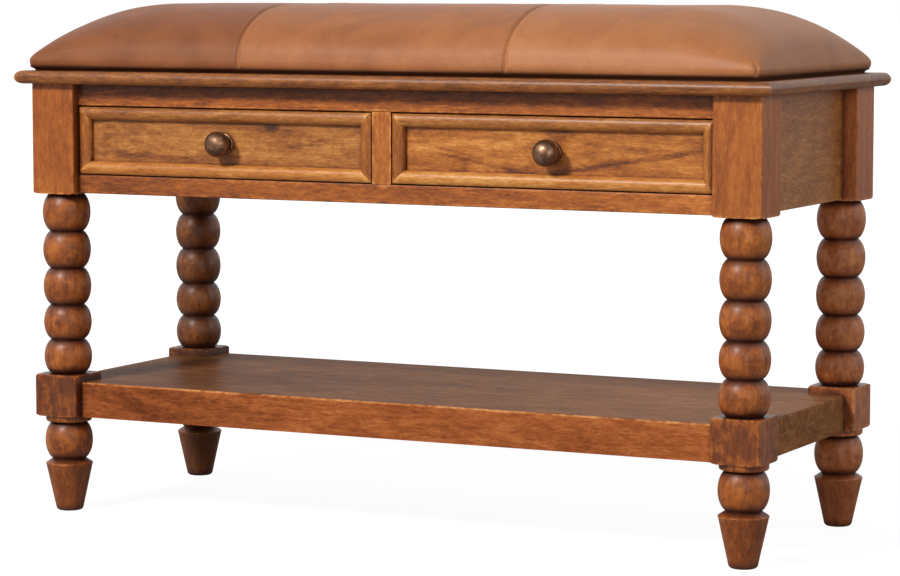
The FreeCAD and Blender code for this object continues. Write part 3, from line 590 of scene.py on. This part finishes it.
def crown_share(position):
    """Place across the seat, from 0 at its edge, as an inset share of the run and a height share."""
    turn = min(max(position, 0.0), 1.0) * math.pi / 2
    return 1 - math.cos(turn), math.sin(turn) ** CROWN_POWER


def across(t, half, run, zone):
    """Plan place and height share of a grid line at t, from -1 to 1; the outer zone follows the crown."""
    edge = 1 - abs(t)
    if edge < zone:
        inset, height = crown_share(edge / zone)
        place = half - run * inset
    else:
        place = (half - run) * abs(t) / (1 - zone)
        height = 1.0
    return math.copysign(place, t), height


def seat_blank():
    """A closed crowned block: a subdivided cube drawn out to the seat's form."""
    bm = bmesh.new()
    bmesh.ops.create_cube(bm, size=2.0)
    for axis, lines in enumerate((*SEAT_LINES, FOOT_STEPS)):
        edges = [e for e in bm.edges if abs(e.verts[0].co[axis] - e.verts[1].co[axis]) > 1.5]
        bmesh.ops.subdivide_edges(bm, edges=edges, cuts=lines - 1, use_grid_fill=True)
    zones = [CROWN_LINES / (lines / 2) for lines in SEAT_LINES]
    rise = SEAT_HEIGHT - SEAT_WIDEST
    for vert in bm.verts:
        a, b, c = vert.co
        x, height_x = across(a, SEAT_HALF[0], CROWN_RUN[0], zones[0])
        y, height_y = across(b, SEAT_HALF[1], CROWN_RUN[1], zones[1])
        if c > 0.999:
            z = SEAT_WIDEST + rise * height_x * height_y
        else:
            inset, z = [v * MM for v in SEAT_FOOT[round((1 + c) / 2 * FOOT_STEPS)]]
            x *= 1 - inset / SEAT_HALF[0]
            y *= 1 - inset / SEAT_HALF[1]
        x -= math.copysign(DRAWN_IN * (1 - b**4) * min(abs(a), 1.0), a)
        y -= math.copysign(DRAWN_IN * (1 - a**4) * min(abs(b), 1.0), b)
        from_corner = SEAT_HALF[0] - abs(x) + SEAT_HALF[1] - abs(y)
        rounding = CORNER_CUT * SEAT_CORNER * math.exp(-CORNER_FALL * from_corner / SEAT_CORNER)
        x -= math.copysign(rounding, x)
        y -= math.copysign(rounding, y)
        vert.co = (x + SEAT_CENTRE_X, y, z + SEAT_BASE)
    return bm


def slackened(bm):
    """Draws the top in along its normals, by the amount that the filling then pushes out."""
    bm.normal_update()
    for vert in bm.verts:
        above = (vert.co.z - SEAT_BASE - SEAT_WIDEST) / SLACK_FADE
        vert.co -= vert.normal * SLACK * min(max(above, 0.0), 1.0)


def puffed(mesh_object, cap):
    """The seat blown up a little as cloth, with its foot held and no point moved further than the cap."""
    mesh = mesh_object.data
    start = [v.co.copy() for v in mesh.vertices]
    held = mesh_object.vertex_groups.new(name="held")
    low = [v.index for v in mesh.vertices if v.co.z < SEAT_BASE + SEAT_WIDEST * 1.05]
    held.add(low, 1.0, "REPLACE")
    cloth = mesh_object.modifiers.new("cloth", "CLOTH")
    cloth.settings.vertex_group_mass = "held"
    cloth.settings.use_pressure = True
    cloth.settings.uniform_pressure_force = PRESSURE
    cloth.settings.effector_weights.gravity = 0.0
    cloth.settings.tension_stiffness = STIFFNESS
    cloth.settings.compression_stiffness = STIFFNESS
    cloth.settings.bending_stiffness = BENDING
    scene = bpy.context.scene
    for number in range(CLOTH_FRAMES):
        scene.frame_set(number + 1)
    blown = mesh_object.evaluated_get(bpy.context.evaluated_depsgraph_get())
    moved = [v.co.copy() for v in blown.to_mesh().vertices]
    blown.to_mesh_clear()
    mesh_object.modifiers.remove(cloth)
    scene.frame_set(1)
    for vert, before, after in zip(mesh.vertices, start, moved):
        step = after - before
        if step.length > cap:
            step *= cap / step.length
        vert.co = before + step
    mesh_object.vertex_groups.clear()


def bell(value, width):
    """A smooth hump, 1 at its middle."""
    return math.exp(-((value / width) ** 2))


def unevenness(x, y, z):
    """Faint hollows and swells of stuffed leather, in millimetres."""
    broad = noise.noise(Vector((x * 9, y * 11, z * 9))) * 0.6
    return broad + noise.noise(Vector((x * 27, y * 30, z * 30 + 4))) * 0.3


def seam_push(seam, x, y):
    """The groove of one seam and the puckered swell beside it, in millimetres."""
    away = abs(x - seam) / MM
    pucker = PUCKER_HEIGHT * math.sin(y / MM * 2 * math.pi / PUCKER_PITCH + seam * PUCKER_SHIFT)
    swell = (SWELL_HEIGHT + pucker) * bell(away - SWELL_PLACE, SWELL_WIDTH)
    return swell - GROOVE_DEPTH * bell(away, GROOVE_WIDTH)


def corner_push(x, y, z):
    """The tuck at the nearest corner of the seat, in millimetres."""
    from_end = (SEAT_HALF[0] - abs(x - SEAT_CENTRE_X)) / MM
    from_front = (SEAT_HALF[1] - abs(y)) / MM
    across_fold = from_end - from_front
    reach = bell((z - SEAT_BASE) / MM - TUCK_HEIGHT, TUCK_SPREAD) * bell(from_end + from_front, TUCK_REACH)
    lips = LIP_HEIGHT * bell(abs(across_fold) - LIP_PLACE, LIP_WIDTH)
    return reach * (lips - FOLD_DEPTH * bell(across_fold, FOLD_WIDTH))


def dress_seat(mesh_object):
    """Seam grooves, corner tucks and unevenness; returns the path of each seam."""
    bm = bmesh.new()
    bm.from_mesh(mesh_object.data)
    for seam in SEAMS:
        for offset in SEAM_CUTS:
            geometry = bm.verts[:] + bm.edges[:] + bm.faces[:]
            place = (seam + offset * MM, 0, 0)
            bmesh.ops.bisect_plane(bm, geom=geometry, dist=0.2 * MM, plane_co=place, plane_no=(1, 0, 0))
    bm.normal_update()
    for vert in bm.verts:
        x, y, z = vert.co
        if z < SEAT_BASE + SEAT_WIDEST * 0.5:
            continue
        push = unevenness(x, y, z) + corner_push(x, y, z)
        push += sum(seam_push(seam, x, y) for seam in SEAMS)
        vert.co += vert.normal * push * MM
    bm.normal_update()
    paths = [seam_path(bm, seam) for seam in SEAMS]
    bm.to_mesh(mesh_object.data)
    bm.free()
    return paths


def seam_path(bm, seam):
    """Points and normals along one seam, from the front hem over the top to the back hem."""
    line = [v for v in bm.verts if abs(v.co.x - seam) < 0.3 * MM and v.co.z > SEAT_BASE + 4 * MM]
    line.sort(key=lambda v: math.atan2(v.co.z - SEAT_BASE + 20 * MM, -v.co.y))
    return [(v.co.copy(), v.normal.copy()) for v in line]


def along(path, gap):
    """Points a gap apart on a path, with the direction and the normal there."""
    found = []
    left = gap / 2
    for (a, normal_a), (b, normal_b) in zip(path, path[1:]):
        length = (b - a).length
        while length > 0 and left <= length:
            share = left / length
            normal = normal_a.lerp(normal_b, share).normalized()
            found.append((a.lerp(b, share), (b - a).normalized(), normal))
            left += gap
        left -= length
    return found


def stitch_rows(name, paths):
    """Rows of single stitches laid beside the seams."""
    bm = bmesh.new()
    for path, offset in zip(paths, STITCH_OFFSETS):
        for place, direction, normal in along(path, STITCH_GAP):
            side = direction.cross(normal).normalized()
            turn = Matrix((side, direction, normal)).transposed().to_4x4()
            spot = Matrix.Translation(place + Vector((offset, 0, 0)) + normal * STITCH_LIFT)
            shape = spot @ turn @ Matrix.Diagonal((*STITCH_SIZE, 1.0))
            bmesh.ops.create_icosphere(bm, subdivisions=1, radius=1.0, matrix=shape)
    bmesh.ops.recalc_face_normals(bm, faces=bm.faces[:])
    return piece(name, bm)


def smooth_faces(mesh):
    for face in mesh.polygons:
        face.use_smooth = True


def piece(name, bm, body="frame"):
    """A finished mesh as an object that rides on a body."""
    mesh = bpy.data.meshes.new(name)
    bm.to_mesh(mesh)
    bm.free()
    made = bpy.data.objects.new(name, mesh)
    bpy.context.scene.collection.objects.link(made)
    smooth_faces(mesh)
    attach(made, body)
    return made


def make_seat():
    """The cushion, which stands for the seat's foam and leather, and its stitches."""
    blank = seat_blank()
    slackened(blank)
    seat = piece("seat_cushion", blank)
    puffed(seat, MOST_PUFF)
    paths = dress_seat(seat)
    smooth_faces(seat.data)
    smooth = seat.modifiers.new("smooth", "SUBSURF")
    smooth.levels = 1
    smooth.render_levels = 1
    seat.data.materials.append(seat_leather())
    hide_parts("seat_leather_left", "seat_leather_middle", "seat_leather_right", "seat_foam")
    stitches = stitch_rows("seat_stitches", paths)
    stitches.data.materials.append(sewing_thread())


# Finishes of the carried-over pieces

# Tone of each leg's post, how much darker its turned length is, and its block further still
# The rear left leg's turned length is painted darker, as painted shade, and the rear right leg paler, as
# painted light
LEG_STAIN = {
    "leg_front_left": (0.49, 0.15, 0.21, STAIN),
    "leg_front_right": (0.47, 0.10, 0.10, STAIN),
    "leg_rear_left": (0.46, 0.31, 0.10, GOLDEN_STAIN),
    "leg_rear_right": (0.62, 0.04, 0.02, RUSSET_STAIN),
}

# How much patches and fibres count on the legs
LEG_WEIGHTS = {"cloud": 0.27, "fine": 0.55}

# Grain, tone, stain and slope of the boards round the drawers; the slope paints them paler to the right, as
# painted light
BOARD_STAIN = {
    "front_top_rail": ("x", 0.49, STAIN, 0.15),
    "front_bottom_rail": ("x", 0.48, STAIN, 0.40),
    "centre_stile": ("z", 0.59, STAIN, 0.0),
    "side_panel_left": ("y", 0.55, GOLDEN_STAIN, 0.0),
    "side_panel_right": ("y", 0.56, GOLDEN_STAIN, 0.0),
    "back_panel": ("x", 0.50, STAIN, 0.0),
    "top_board": ("x, ends y", 0.40, GOLDEN_STAIN, 0.0),
}

# Grain of the shelf's pieces, which share one look
SHELF_GRAIN = {
    "shelf_board": "x",
    "shelf_rail_front": "x",
    "shelf_rail_rear": "x",
    "shelf_rail_left": "y",
    "shelf_rail_right": "y",
}
# The shelf's look, with painted light: paler to the right, a painted highlight along the front edge, painted
# shade on the ends and a painted reflection on upper faces
SHELF_LOOK = {
    "level": 0.49,
    "fine": 0.75,
    "light_lean": 0.3,
    "stain": RUSSET_STAIN,
    "gloss": 0.04,
    "dark": shelf_highlight_and_end_shade,
    "wear_above": SHELF_WEAR,
    "upper": 0.07,
}

# Grain of the hidden pieces
HIDDEN_GRAIN = {
    "drawer_runner_left": "y",
    "drawer_runner_centre": "y",
    "drawer_runner_right": "y",
    "drawer_guide_centre": "y",
    "drawer_kicker_left": "y",
    "drawer_kicker_centre": "y",
    "drawer_kicker_right": "y",
    "shelf_dowels": "x",
}

# Each drawer front: tone, stain, its knot's place and size, and its streaks as ends, width and depth
FRONT_LOOK = {
    "left": {
        "level": 0.545,
        "stain": GOLDEN_STAIN,
        "knot": ((-122.0 * MM, -135.5 * MM, 391.5 * MM), 5.0 * MM),
        "lines": [
            ((-330, 362), (-200, 357), 5.0, 0.17),
            ((-112, 370), (-40, 384), 5.0, 0.20),
        ],
    },
    "right": {
        "level": 0.65,
        "stain": HONEY_STAIN,
        "knot": ((187.0 * MM, -135.5 * MM, 396.0 * MM), 4.0 * MM),
        "lines": [
            ((176, 355), (336, 381), 4.2, 0.34),
            ((60, 370), (150, 354), 3.4, 0.28),
            ((54, 377), (112, 364), 2.6, 0.20),
            ((205, 384), (330, 374), 4.0, 0.12),
        ],
    },
}

# How much rings and patches count on the drawer fronts
FRONT_WEIGHTS = {"figure": 0.14, "cloud": 0.46}

# Grain, tone and stain of the strips round a drawer front
# The bottom strips are painted paler, as painted light on their upward faces
MOULDING_STAIN = {
    "top": ("x", 0.55, GOLDEN_STAIN),
    "bottom": ("x", 0.73, HONEY_STAIN),
    "left": ("z", 0.54, HONEY_STAIN),
    "right": ("z", 0.54, HONEY_STAIN),
}


def finish_node(name, material):
    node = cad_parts[name]
    node.data.materials.clear()
    node.data.materials.append(material)


def finish_frame():
    seed = FRAME_SEED
    for depth, y in (("front", -LEG_Y), ("rear", LEG_Y)):
        for side, x in (("left", -LEG_X), ("right", LEG_X)):
            name = f"leg_{depth}_{side}"
            level, darker, block, stain = LEG_STAIN[name]
            dark = turned_stain_and_shade((x, y), darker, block)
            wood = stained_wood(name, "z", seed, level, stain=stain, dark=dark, **LEG_WEIGHTS)
            finish_node(name, wood)
            seed += SEED_STEP
    for name, (axis, level, stain, light_lean) in BOARD_STAIN.items():
        # The front top rail gets the painted shadow of the top board
        dark = painted_nose_shadow if name == "front_top_rail" else None
        finish_node(name, stained_wood(name, axis, seed, level, stain=stain, light_lean=light_lean, dark=dark))
        seed += SEED_STEP
    for name, axis in SHELF_GRAIN.items():
        finish_node(name, stained_wood(name, axis, seed, **SHELF_LOOK))
    seed += SEED_STEP
    for name, axis in HIDDEN_GRAIN.items():
        finish_node(name, bare_wood(name, axis, seed))
        seed += SEED_STEP
    finish_node("seat_board", plywood("seat_board", seed, *SEAT_BOARD))


def finish_drawers(steel):
    bronze = aged_bronze()
    seed = DRAWER_SEED
    for side, look in FRONT_LOOK.items():
        front = f"{side}_drawer_front"
        finish_node(front, stained_wood(front, "x", seed, **look, **FRONT_WEIGHTS))
        for edge, (axis, level, stain) in MOULDING_STAIN.items():
            name = f"{side}_drawer_moulding_{edge}"
            finish_node(name, stained_wood(name, axis, seed + MOULDING_SHIFT, level, stain=stain))
            seed += SEED_STEP
        for edge, axis in (("side_left", "y"), ("side_right", "y"), ("back", "x")):
            name = f"{side}_drawer_{edge}"
            finish_node(name, bare_wood(name, axis, seed + BOX_SHIFT))
            seed += SEED_STEP
        name = f"{side}_drawer_bottom"
        finish_node(name, plywood(name, seed, *DRAWER_BOTTOM))
        for metal in ("knob", "knob_rose"):
            finish_node(f"{side}_drawer_{metal}", bronze)
        finish_node(f"{side}_drawer_knob_screw", steel)


# Studio

# Lamps: place, target, width, power and colour
LAMPS = {
    "key": ((-0.95, -2.9, 2.4), (0.0, 0.0, 0.3), 0.6, 106.0, (1.0, 0.97, 0.92)),
    "front_fill": ((1.5, -1.9, 0.75), (0.3, 0.0, 0.3), 0.9, 6.5, (1.0, 0.97, 0.92)),
    "right_fill": ((3.0, 0.9, 1.2), (0.2, 0.0, 0.25), 1.6, 14.0, (1.0, 0.98, 0.94)),
    "rear_fill": ((-0.9, 3.2, 1.7), (0.0, 0.0, 0.3), 2.0, 16.0, (1.0, 0.97, 0.92)),
}

# Floor: half its width, its grey, and its glow to the camera near the bench and far away
FLOOR_HALF = 30.0
FLOOR_GREY = 0.56
FLOOR_GLOW = (1.56, 1.78)
FLOOR_GLOW_REACH = (0.8, 3.0)
FLOOR_GLOW_SHARE = 0.6

# Background: its strength as a light, and to rays that show it
WHITE = (1.0, 1.0, 1.0)
WORLD_LIGHT = 0.13
WORLD_RAYS = {"Is Glossy Ray": 0.95, "Is Transmission Ray": 1.0, "Is Camera Ray": 1.0}

# Camera, fitted to the photo: degrees down from level and round from straight on
CAMERA_PLACE = (1.4107, -2.8298, 0.5370)
CAMERA_DOWN = 5.561
CAMERA_ROUND = 26.465
CAMERA_LENS = 128.47


def make_floor():
    """A pale floor that keeps the shadow and shows white to the camera."""
    bm = bmesh.new()
    bmesh.ops.create_grid(bm, x_segments=1, y_segments=1, size=FLOOR_HALF)
    mesh = bpy.data.meshes.new("floor")
    bm.to_mesh(mesh)
    bm.free()
    floor = bpy.data.objects.new("floor", mesh)
    bpy.context.scene.collection.objects.link(floor)
    shader = Shader("pale floor")
    shader.finish(Base_Color=(FLOOR_GREY,) * 3, Roughness=0.9, Specular_IOR_Level=0.1)
    seen = shader.node("LightPath", output="Is Camera Ray")
    white = shader.between(shader.length(shader.place), *FLOOR_GLOW_REACH, *FLOOR_GLOW)
    glow = shader.node("Emission", None, {"Color": white, "Strength": 1.0})
    plain = Value(shader, shader.surface.outputs[0])
    mixed = shader.node("MixShader", None, {0: seen * FLOOR_GLOW_SHARE, 1: plain, 2: glow})
    shader.feed(shader.tree.nodes["Material Output"].inputs["Surface"], mixed)
    mesh.materials.append(shader.material)


def area_light(name, place, target, width, power, colour):
    light = bpy.data.lights.new(name, "AREA")
    light.shape = "RECTANGLE"
    light.size = light.size_y = width
    light.energy = power
    light.color = colour
    made = bpy.data.objects.new(name, light)
    made.location = place
    made.rotation_euler = (Vector(target) - Vector(place)).to_track_quat("-Z", "Y").to_euler()
    bpy.context.scene.collection.objects.link(made)
    return made


def make_world():
    """White to the camera, nearly so in reflections, and dim as a light."""
    world = bpy.data.worlds.new("studio")
    world.use_nodes = True
    nodes = Nodes(world.node_tree)
    dim = nodes.tree.nodes["Background"]
    nodes.feed(dim.inputs["Color"], WHITE)
    nodes.feed(dim.inputs["Strength"], WORLD_LIGHT)
    light = Value(nodes, dim.outputs[0])
    for kind, strength in WORLD_RAYS.items():
        seen = nodes.node("LightPath", output=kind)
        background = nodes.node("Background", None, {"Color": WHITE, "Strength": strength})
        light = nodes.node("MixShader", None, {0: seen, 1: light, 2: background})
    nodes.feed(nodes.tree.nodes["World Output"].inputs["Surface"], light)
    bpy.context.scene.world = world


def make_camera():
    camera = bpy.data.cameras.new("camera")
    camera.sensor_width = 36.0
    camera.lens = CAMERA_LENS
    made = bpy.data.objects.new("camera", camera)
    made.location = CAMERA_PLACE
    made.rotation_euler = (math.radians(90 - CAMERA_DOWN), 0.0, math.radians(CAMERA_ROUND))
    bpy.context.scene.collection.objects.link(made)
    bpy.context.scene.camera = made


def make_studio():
    make_floor()
    make_world()
    lamps = {name: area_light(name, *values) for name, values in LAMPS.items()}
    lamps["rear_fill"].visible_glossy = False
    make_camera()
    bpy.context.scene.view_settings.view_transform = "Standard"


finish_frame()
steel_finish = plated_steel()
finish_drawers(steel_finish)
for screws in ("seat_screws", "top_screws"):
    finish_node(screws, steel_finish)
make_seat()
make_studio()
